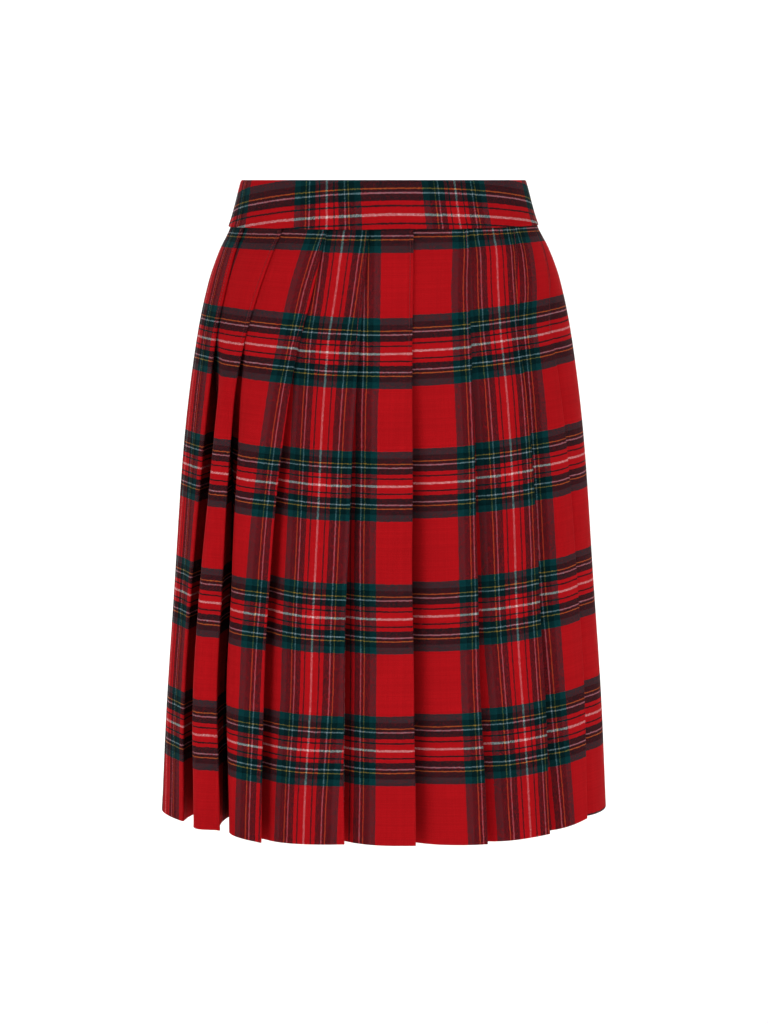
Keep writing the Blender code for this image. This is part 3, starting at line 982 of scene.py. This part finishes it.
@dataclass(frozen=True)
class PleatedCloth:
    """The pleated body of the skirt, sewn from a front and two backs at hidden inner folds."""

    cloth_thickness: float = 1.2
    inset: float = 0.4
    fold_radius: float = 0.75
    lift_ease: float = 4.5
    most_of_panel: float = 0.82
    waist_hidden: float = 28.0
    hip_hidden: float = 33.0
    hem_hidden: float = 45.0
    row_pitch: float = 5.0
    panel_columns: int = 13
    hidden_columns: int = 5
    arc_columns: int = 4
    stitch_inset: float = 1.8
    stitch_columns: tuple[float, ...] = (2.2, 1.55, 1.0, 0.55, 0.25)
    stitch_start: float = 2.5
    stitch_step: float = 6.0
    stitch_rise: float = -0.12
    groove_depth: float = 0.35
    groove_width: float = 0.8
    groove_fade: float = 60.0
    wander_ease: float = 200.0
    mouth_left: float = 0.25
    most_of_mouth: float = 0.6
    bulge_at: float = 0.6
    droop_power: float = 6.0
    first_white_line: float = 153.3
    cloth_per_drop: float = 1.0042
    top_cloth_per_drop: float = 0.981

    @property
    def sewn_lift(self) -> float:
        """Give how far a sewn-down panel lies behind the fold edge before it."""
        return 4 * self.fold_radius

    def drops(self) -> np.ndarray:
        """Give the drops of the rows, from under the waistband to the hem."""
        top = BAND_HEIGHT + PIECE_GAP
        return np.linspace(top, HEM_DROP, round((HEM_DROP - top) / self.row_pitch) + 1)

    def cloth_down(self, drop: float, hang: float) -> float:
        """Give the distance down the cloth, in millimetres from the first white line below the waist."""
        below = drop - self.first_white_line - hang
        return below * (self.cloth_per_drop if below > 0 else self.top_cloth_per_drop)

    def edge_wander(self, number: int, drop: float) -> float:
        """Let each pressed edge wander a little, more so below the release."""
        free = freed(drop, self.wander_ease)
        return sum(math.sin(drop / wave.length + wave.shift * number) * (wave.pressed + wave.free * free)
                   for wave in EDGE_WANDERS)

    def cuts(self, ring: Ring) -> list[PleatCut]:
        """Lay every pleat at one ring.

        Args:
            ring: The level ring.

        Returns:
            The pleats in order. Number 0 is the last pleat seen from the other side of the turn.
        """
        folds = all_folds()
        drop = ring.drop
        edge_shift = self.fold_radius + self.cloth_thickness / 2
        edges = []
        for number, fold in enumerate(folds):
            angle = smooth_through(FOLD_LEVELS, fold[:len(FOLD_LEVELS)], drop)
            wander = self.edge_wander(number if number else len(folds) - 1, drop)
            edges.append(ring.along(angle) - edge_shift + wander)
        setts = [smooth_through(FOLD_LEVELS, place, drop) for place in all_places()]
        widths = [b - a for a, b in zip(edges, edges[1:])]
        widths.insert(0, widths[-1])
        share = 1 - (1 - freed(drop, HEM_DROP - RELEASE_DROP)) ** self.lift_ease
        lifts = [self.sewn_lift + (fold.hem_lift - self.sewn_lift) * share for fold in folds]
        depth = smooth_through(HIDDEN_LEVELS, (self.waist_hidden, self.hip_hidden, self.hem_hidden), drop)
        cuts = []
        for number, (fold, edge) in enumerate(zip(folds, edges)):
            before = number - 1 if number else len(folds) - 2
            after = number + 1 if number + 1 < len(folds) else 1
            hidden = min(depth, self.most_of_panel * widths[number])
            straight_on = -lifts[number] * (1 + hidden / widths[after])
            under_layers = -lifts[before] * hidden / widths[number] - self.sewn_lift
            droop = HANGS[number - 1].hem * (drop / HEM_DROP) ** self.droop_power
            mouth = min(self.most_of_mouth, fold.mouth / widths[after])
            rounding = math.log(self.mouth_left) / math.log(1 - mouth)
            cuts.append(PleatCut(edge, hidden, fold.hem_bulge * share, rounding, -lifts[number],
                                 min(straight_on, under_layers), setts[number], droop))
        return cuts

    def panel_out(self, before: PleatCut, cut: PleatCut, share: float) -> float:
        """Give the height of a visible panel, steep at the mouth and flat by its own edge."""
        bulge = share ** 3 * (1 - share) ** 2 / (self.bulge_at ** 3 * (1 - self.bulge_at) ** 2)
        return before.next_at_edge * (1 - share) ** before.next_rounding + cut.bulge * bulge

    def panel_shares(self, width: float) -> np.ndarray:
        """Give the places across a visible panel, as shares of its width, closer by the stitching."""
        near_edge = 1 - np.array(self.stitch_columns) * self.stitch_inset / width
        return np.concatenate([np.linspace(0, near_edge[0], self.panel_columns)[:-1], near_edge])

    def pleat_columns(self, before: PleatCut, cut: PleatCut, drop: float, seamed: bool) -> list[Column]:
        """List one pleat's columns from its inner fold to the end of the layer that returns under it.

        Args:
            before: The pleat before this one.
            cut: This pleat.
            drop: The drop of the ring.
            seamed: True if the piece starts at this pleat, with no fold to turn round.

        Returns:
            The columns, in order across the cloth.
        """
        radius = self.fold_radius
        width = cut.edge - before.edge
        start = before.edge - before.hidden
        columns: list[Column] = []
        # Round the hidden inner fold, unless the piece starts there.
        if not seamed:
            for i in range(1, self.arc_columns):
                angle = math.pi * i / self.arc_columns
                out = before.next_at_inner + radius + radius * math.cos(angle)
                columns.append(Column(start - radius * math.sin(angle), out, math.sin(angle),
                                      -math.cos(angle), cut.sett - width - before.hidden, before.droop))
        # Along under the pleat before this one, up to the mouth.
        for i in range(self.hidden_columns):
            share = i / self.hidden_columns
            out = before.next_at_inner + (before.next_at_edge - before.next_at_inner) * share
            along = start + before.hidden * share
            columns.append(Column(along, out, 0.0, 1.0, cut.sett - (cut.edge - along), before.droop))
        # Across the visible panel, which sinks in along its stitching.
        groove = self.groove_depth * (1 - freed(drop, self.groove_fade))
        for share in self.panel_shares(width):
            off_stitch = (width * (1 - share) - self.stitch_inset) / self.groove_width
            out = self.panel_out(before, cut, share) - groove * math.exp(-off_stitch * off_stitch)
            columns.append(Column(before.edge + width * share, out, 0.0, 1.0, cut.sett - width * (1 - share),
                                  before.droop + (cut.droop - before.droop) * share))
        # Round the fold edge.
        for i in range(self.arc_columns + 1):
            angle = math.pi * i / self.arc_columns
            columns.append(Column(cut.edge + radius * math.sin(angle), -radius + radius * math.cos(angle),
                                  math.sin(angle), math.cos(angle), cut.sett + radius * angle, cut.droop))
        # Back under the panel, down to the next inner fold.
        fall = cut.next_at_inner + 4 * radius
        for i in range(1, self.hidden_columns + 1):
            share = i / self.hidden_columns
            columns.append(Column(cut.edge - cut.hidden * share, -2 * radius + fall * share, 0.0, -1.0,
                                  cut.sett + math.pi * radius + cut.hidden * share, cut.droop))
        return columns

    def build_piece(self, name: str, first: int, last: int, material: Material) -> Object:
        """Build one cut piece of the pleated cloth.

        Args:
            name: The piece's name.
            first: Its first pleat.
            last: Its last pleat.
            material: The cloth.

        Returns:
            The piece.
        """
        right, wrong, cloth = [], [], []
        half = self.cloth_thickness / 2
        for drop in self.drops():
            ring = Ring(drop)
            cuts = self.cuts(ring)
            columns: list[Column] = []
            downs: list[float] = []
            for number in range(first, last + 1):
                pleat = self.pleat_columns(cuts[number - 1], cuts[number], ring.drop, number == first)
                hang = smooth_through(HANG_LEVELS, HANGS[number - 1][:len(HANG_LEVELS)], ring.drop)
                columns += pleat
                downs += [self.cloth_down(ring.drop, hang)] * len(pleat)
            along, out, side_along, side_out, sett, droop = np.array(columns).T
            out = out - self.inset - half + crease_height(ring.angles_at(along), ring.drop)
            right.append(ring.points(along + half * side_along, out + half * side_out, droop))
            wrong.append(ring.points(along - half * side_along, out - half * side_out, droop))
            cloth.append(np.stack([sett, downs], axis=-1) * MM)
        return cloth_from_rows(name, right, wrong, cloth, material)

    def stitch_lines(self) -> list[np.ndarray]:
        """Trace a line down each sewn-down pleat beside its fold edge.

        Returns:
            One line for each pleat, in metres.
        """
        top = BAND_HEIGHT + self.stitch_start
        drops = np.linspace(top, RELEASE_DROP, round((RELEASE_DROP - top) / self.stitch_step))
        rings = [Ring(drop) for drop in drops]
        layouts = [self.cuts(ring) for ring in rings]
        lines = []
        for number in range(1, len(layouts[0])):
            points = []
            for ring, cuts in zip(rings, layouts):
                cut, before = cuts[number], cuts[number - 1]
                along = np.array([cut.edge - self.stitch_inset])
                panel = self.panel_out(before, cut, 1 - self.stitch_inset / (cut.edge - before.edge))
                crease = crease_height(ring.angles_at(along), ring.drop)
                out = crease - self.inset + panel + self.stitch_rise
                points.append(ring.points(along, out, cut.droop)[0])
            lines.append(np.array(points))
        return lines


class BandRow(NamedTuple):
    """A row of the waistband's cross-section: its drop and its height out of the ring, on both faces."""

    outer_drop: float
    outer_out: float
    inner_drop: float
    inner_out: float


@dataclass(frozen=True)
class Waistband:
    """The curved waistband, cut in three pieces, with a rolled top edge and a turned lower edge."""

    rows: tuple[BandRow, ...] = (
        BandRow(0.0, -0.9, 0.0, -1.4),
        BandRow(0.12, -0.35, 0.15, -1.8),
        BandRow(0.45, 0.0, 0.5, -2.2),
        BandRow(1.1, 0.3, 1.2, -2.5),
        BandRow(2.6, 0.5, 2.6, -2.6),
        BandRow(8.0, 0.6, 8.0, -2.7),
        BandRow(16.0, 0.6, 16.0, -2.9),
        BandRow(24.0, 0.6, 24.0, -3.0),
        BandRow(32.0, 0.65, 32.0, -3.4),
        BandRow(38.0, 0.75, 38.0, -4.6),
        BandRow(41.5, 0.9, 41.5, -5.8),
        BandRow(43.0, 0.85, 43.0, -6.4),
        BandRow(43.8, 0.5, 43.7, -6.5),
        BandRow(44.1, 0.0, 44.0, -6.3),
        BandRow(44.1, -0.6, 44.1, -5.6),
    )
    column_degrees: float = 2.0
    flat_radius: float = 1030.0
    weft_tilt: float = 0.02
    warp_lean: float = 0.04
    white_line_drop: float = 31.0
    down_scale: float = 1.19
    left_white_line: float = -51.0

    def cloth_place(self, along: np.ndarray, drop: float) -> np.ndarray:
        """Give the place in the flat cloth of a row of a band piece, which is cut along an arc.

        Args:
            along: The lengths from the middle of the piece.
            drop: The drop of the row.

        Returns:
            The places across and down the flat cloth, in metres.
        """
        slope = along / self.flat_radius - self.weft_tilt
        weft_drop = along * along / (2 * self.flat_radius) - self.weft_tilt * along
        across = along - self.left_white_line + (slope - self.warp_lean) * (drop - ORIGIN_DROP)
        down = drop - self.white_line_drop - weft_drop
        return np.stack([across, down / self.down_scale], axis=-1) * MM

    def build_piece(self, name: str, start: float, end: float, material: Material) -> Object:
        """Build one piece of the band between two seams.

        Args:
            name: The piece's name.
            start: The ellipse angle of its first seam.
            end: The ellipse angle of its last seam.
            material: The cloth.

        Returns:
            The piece.
        """
        count = round((end - start) / self.column_degrees) + 1
        middle = Ring(ORIGIN_DROP)
        half_length = (middle.along(end) - middle.along(start)) / 2
        flat_along = np.linspace(-half_length, half_length, count)
        right, wrong, cloth = [], [], []
        for row in self.rows:
            outer, inner = (row.outer_drop, row.outer_out, right), (row.inner_drop, row.inner_out, wrong)
            for drop, out, grid in (outer, inner):
                ring = Ring(drop)
                along = np.linspace(ring.along(start) + PIECE_GAP / 2, ring.along(end) - PIECE_GAP / 2, count)
                grid.append(ring.points(along, np.full(count, out)))
            cloth.append(self.cloth_place(flat_along, row.outer_drop))
        return cloth_from_rows(name, right, wrong, cloth, material)


class SoftLight(NamedTuple):
    """A square area light: its place and the point that it faces, in metres, its side, and its watts."""

    name: str
    place: tuple[float, float, float]
    aim: tuple[float, float, float]
    side: float
    power: float


SKIRT_MIDDLE = (0.0, 0.0, -0.27)
LIGHTS = (
    SoftLight("softbox_right", (-2.35, -2.35, 0.9), SKIRT_MIDDLE, 1.7, 41.0),
    SoftLight("softbox_left", (2.35, -2.35, 0.9), SKIRT_MIDDLE, 1.7, 39.0),
    SoftLight("back_left", (0.9, 2.9, 1.9), SKIRT_MIDDLE, 1.2, 14.0),
    SoftLight("back_right", (-0.9, 2.9, 1.9), SKIRT_MIDDLE, 1.2, 14.0),
    SoftLight("backdrop", (0.0, 3.4, 4.2), (0.0, 5.2, -0.9), 3.0, 230.0),
)


@dataclass(frozen=True)
class Studio:
    """The camera at the photograph's angle, a pale floor that sweeps up, and soft lights.

    The camera's focal length and the image height are in pixels of the photograph, the camera's shift
    and drop in millimetres, and the floor's sizes in metres.
    """

    distance: float = 3.2
    camera_shift: float = 0.5
    drop_at_axis: float = 332.0
    focal_pixels: float = 3478.0
    image_height: float = 1024.0
    sensor: float = 36.0
    floor_height: float = -1.05
    wall_radius: float = 6.5
    wall_bend: float = 2.2
    wall_height: float = 5.5
    wall_sides: int = 64
    bend_points: int = 12
    air_colour: str = "FFFFFF"
    air_strength: float = 0.06

    def build_camera(self) -> None:
        """Put the camera level with the waistband's top edge, tilted down."""
        data = bpy.data.cameras.new("camera")
        data.lens = self.focal_pixels / self.image_height * self.sensor
        data.sensor_width = self.sensor
        camera = add_object("camera", data)
        camera.location = (self.camera_shift * MM, -self.distance, ORIGIN_DROP * MM)
        camera.rotation_euler = (math.radians(90) - math.atan(self.drop_at_axis / self.focal_pixels), 0, 0)
        bpy.context.scene.camera = camera

    def build_floor(self) -> None:
        """Build the floor as a wide pale bowl, so that every view has its wall behind the skirt."""
        flat = self.wall_radius - self.wall_bend
        profile = [(flat + self.wall_bend * math.sin(a), self.wall_bend * (1 - math.cos(a)))
                   for a in np.linspace(0, math.pi / 2, self.bend_points)]
        profile.append((self.wall_radius, self.wall_height))
        sides = self.wall_sides
        turns = [math.tau * i / sides for i in range(sides)]
        vertices = [(0.0, 0.0, self.floor_height)]
        for radius, height in profile:
            level = self.floor_height + height
            vertices += [(radius * math.cos(turn), radius * math.sin(turn), level) for turn in turns]
        faces: list[tuple[int, ...]] = [(0, 1 + i, 1 + (i + 1) % sides) for i in range(sides)]
        for row in range(len(profile) - 1):
            for i in range(sides):
                low, after = 1 + row * sides + i, 1 + row * sides + (i + 1) % sides
                faces.append((low, low + sides, after + sides, after))
        mesh = bpy.data.meshes.new("floor")
        mesh.from_pydata(vertices, [], faces)
        mesh.shade_smooth()
        mesh.materials.append(STUDIO_BOARD.build())
        add_object("floor", mesh)

    def build_lights(self) -> None:
        """Light the skirt softly from the front, and the floor and the wall behind it on their own."""
        for soft in LIGHTS:
            data = bpy.data.lights.new(soft.name, "AREA")
            data.size = soft.side
            data.energy = soft.power
            light = add_object(soft.name, data)
            light.location = soft.place
            light.rotation_euler = (Vector(soft.aim) - Vector(soft.place)).to_track_quat("-Z", "Y").to_euler()
        world = bpy.data.worlds.new("studio_air")
        world.use_nodes = True
        air = world.node_tree.nodes["Background"]
        air.inputs["Color"].default_value = linear(self.air_colour)
        air.inputs["Strength"].default_value = self.air_strength
        bpy.context.scene.world = world
        bpy.context.scene.view_settings.view_transform = "Standard"


class PleatedCut(NamedTuple):
    """A cut piece of the pleated cloth: its node, its pleats, its flat size and area, and its band."""

    node: str
    first: int
    last: int
    flat: tuple[float, float]
    area: float
    band: str


PLEATED_CUTS = (
    PleatedCut("skirt_front", 1, 9, (1.37, 0.55), 0.64, "waistband_front"),
    PleatedCut("skirt_back_left", 10, 13, (0.69, 0.55), 0.32, "waistband_back_left"),
    PleatedCut("skirt_back_right", 14, 16, (0.48, 0.55), 0.225, "waistband_back_right"),
)


class BandCut(NamedTuple):
    """A cut piece of the waistband: its node, the ellipse angles of its two seams, and its flat size."""

    node: str
    start: float
    end: float
    flat: tuple[float, float]


BAND_CUTS = (
    BandCut("waistband_front", -90, 90, (0.38, 0.048)),
    BandCut("waistband_back_left", 90, 180, (0.19, 0.048)),
    BandCut("waistband_back_right", 180, 270, (0.19, 0.048)),
)


@dataclass(frozen=True)
class Zip:
    """The concealed zip inside the centre back: its tape, its coil, and the metal that the frame carries."""

    pleats: PleatedCloth
    band: Waistband
    tape_top: float = 2.0
    tape_end: float = 185.0
    tape_width: float = 20.0
    tape_thickness: float = 0.8
    tape_columns: int = 21
    row_pitch: float = 3.0
    cord_half_width: float = 2.6
    cord_height: float = 0.5
    cord_softness: float = 0.45
    coil: ThreadRow = ThreadRow("zip_coil", pitch=1.3, length=4.6, thickness=0.75, turn=math.pi / 2,
                                unevenness=0.0)

    def outer_face(self, ring: Ring) -> float:
        """Find the tape's outer face, just inside the innermost cloth at the centre back.

        Args:
            ring: The level ring.

        Returns:
            The face's height out of the ring.
        """
        if ring.drop <= BAND_HEIGHT:
            drops, outs = zip(*((row.inner_drop, row.inner_out) for row in self.band.rows))
            innermost = smooth_through(drops, outs, ring.drop)
        else:
            centre = self.pleats.cuts(ring)[CENTRE_BACK_PLEAT]
            innermost = centre.next_at_inner - self.pleats.inset - self.pleats.cloth_thickness
        return innermost - PIECE_GAP

    def rings(self) -> list[Ring]:
        """List the level rings from the tape's top to its end."""
        steps = round((self.tape_end - self.tape_top) / self.row_pitch)
        return [Ring(drop) for drop in np.linspace(self.tape_top, self.tape_end, steps + 1)]

    def build_tape(self) -> Object:
        """Build the tape, a little thicker along the cord that holds the coil.

        Returns:
            The tape.
        """
        across = np.linspace(-self.tape_width / 2, self.tape_width / 2, self.tape_columns)
        off_cord = (np.abs(across) / self.cord_half_width - 1) / self.cord_softness
        cord = self.cord_height * np.exp(-off_cord ** 2)
        outer_rows, inner_rows, cloth = [], [], []
        for ring in self.rings():
            outer = np.full(len(across), self.outer_face(ring))
            along = ring.along(CENTRE_BACK) + across
            outer_rows.append(ring.points(along, outer))
            inner_rows.append(ring.points(along, outer - self.tape_thickness - cord))
            cloth.append(np.stack([across, np.full(len(across), ring.drop)], axis=-1) * MM)
        return cloth_from_rows("zip_tape_woven", outer_rows, inner_rows, cloth, WovenTape().build())

    def build_coil(self) -> Object:
        """Build the closed coil down the middle of the tape's inner face.

        Returns:
            The coil.
        """
        depth = self.tape_thickness + self.coil.thickness / 2
        line = [ring.points(np.array([ring.along(CENTRE_BACK)]), np.array([self.outer_face(ring) - depth]))[0]
                for ring in self.rings()[1:-1]]
        return self.coil.build([np.array(line)], COIL_NYLON.build())

    def finish_metal(self, nodes: dict[str, Object]) -> None:
        """Give the slider and the pull tab their plating.

        Args:
            nodes: The frame's nodes by name.
        """
        plating = NICKEL_PLATING.build()
        for name in ("zip_slider", "zip_pull"):
            for slot in nodes[name].material_slots:
                slot.material = plating


@dataclass(frozen=True)
class Skirt:
    """The whole skirt: its cloth pieces, and what is sewn on."""

    pleats: PleatedCloth = PleatedCloth()
    band: Waistband = Waistband()
    stitches: ThreadRow = ThreadRow("pleat_edge_stitches", pitch=2.7, length=2.1, thickness=0.42)

    def build(self, nodes: dict[str, Object]) -> None:
        """Build the pieces in the order in which they are sewn.

        Args:
            nodes: The frame's nodes by name.
        """
        wool = TartanWool().build()
        for cut in PLEATED_CUTS:
            piece = self.pleats.build_piece(f"{cut.node}_cloth", cut.first, cut.last, wool)
            self.dress(piece, cut.node)
        for cut in BAND_CUTS:
            piece = self.band.build_piece(f"{cut.node}_cloth", cut.start, cut.end, wool)
            self.dress(piece, cut.node)
        sewing = self.stitches.build(self.pleats.stitch_lines(), SEWING_THREAD.build())
        self.dress(sewing, "")
        closure = Zip(self.pleats, self.band)
        tape = closure.build_tape()
        self.dress(tape, "zip_tape")
        self.dress(closure.build_coil(), "")
        closure.finish_metal(nodes)

    def dress(self, piece: Object, node: str) -> None:
        """Let a piece move with the skirt, and stand for its CAD node where it has one.

        Args:
            piece: The piece.
            node: The CAD node that it stands for, or nothing.
        """
        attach(piece, SKIRT_BODY)
        if node:
            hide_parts(node)
        LOG.info("%s: %d faces", piece.name, len(piece.data.polygons))


def main() -> None:
    """Load the frame, build the studio and the skirt, and note the sizes."""
    logging.basicConfig(level=logging.INFO, format="%(name)s: %(message)s")
    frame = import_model()
    studio = Studio()
    studio.build_camera()
    studio.build_floor()
    studio.build_lights()
    Skirt().build(frame["nodes"])


if __name__ == "__main__":
    main()
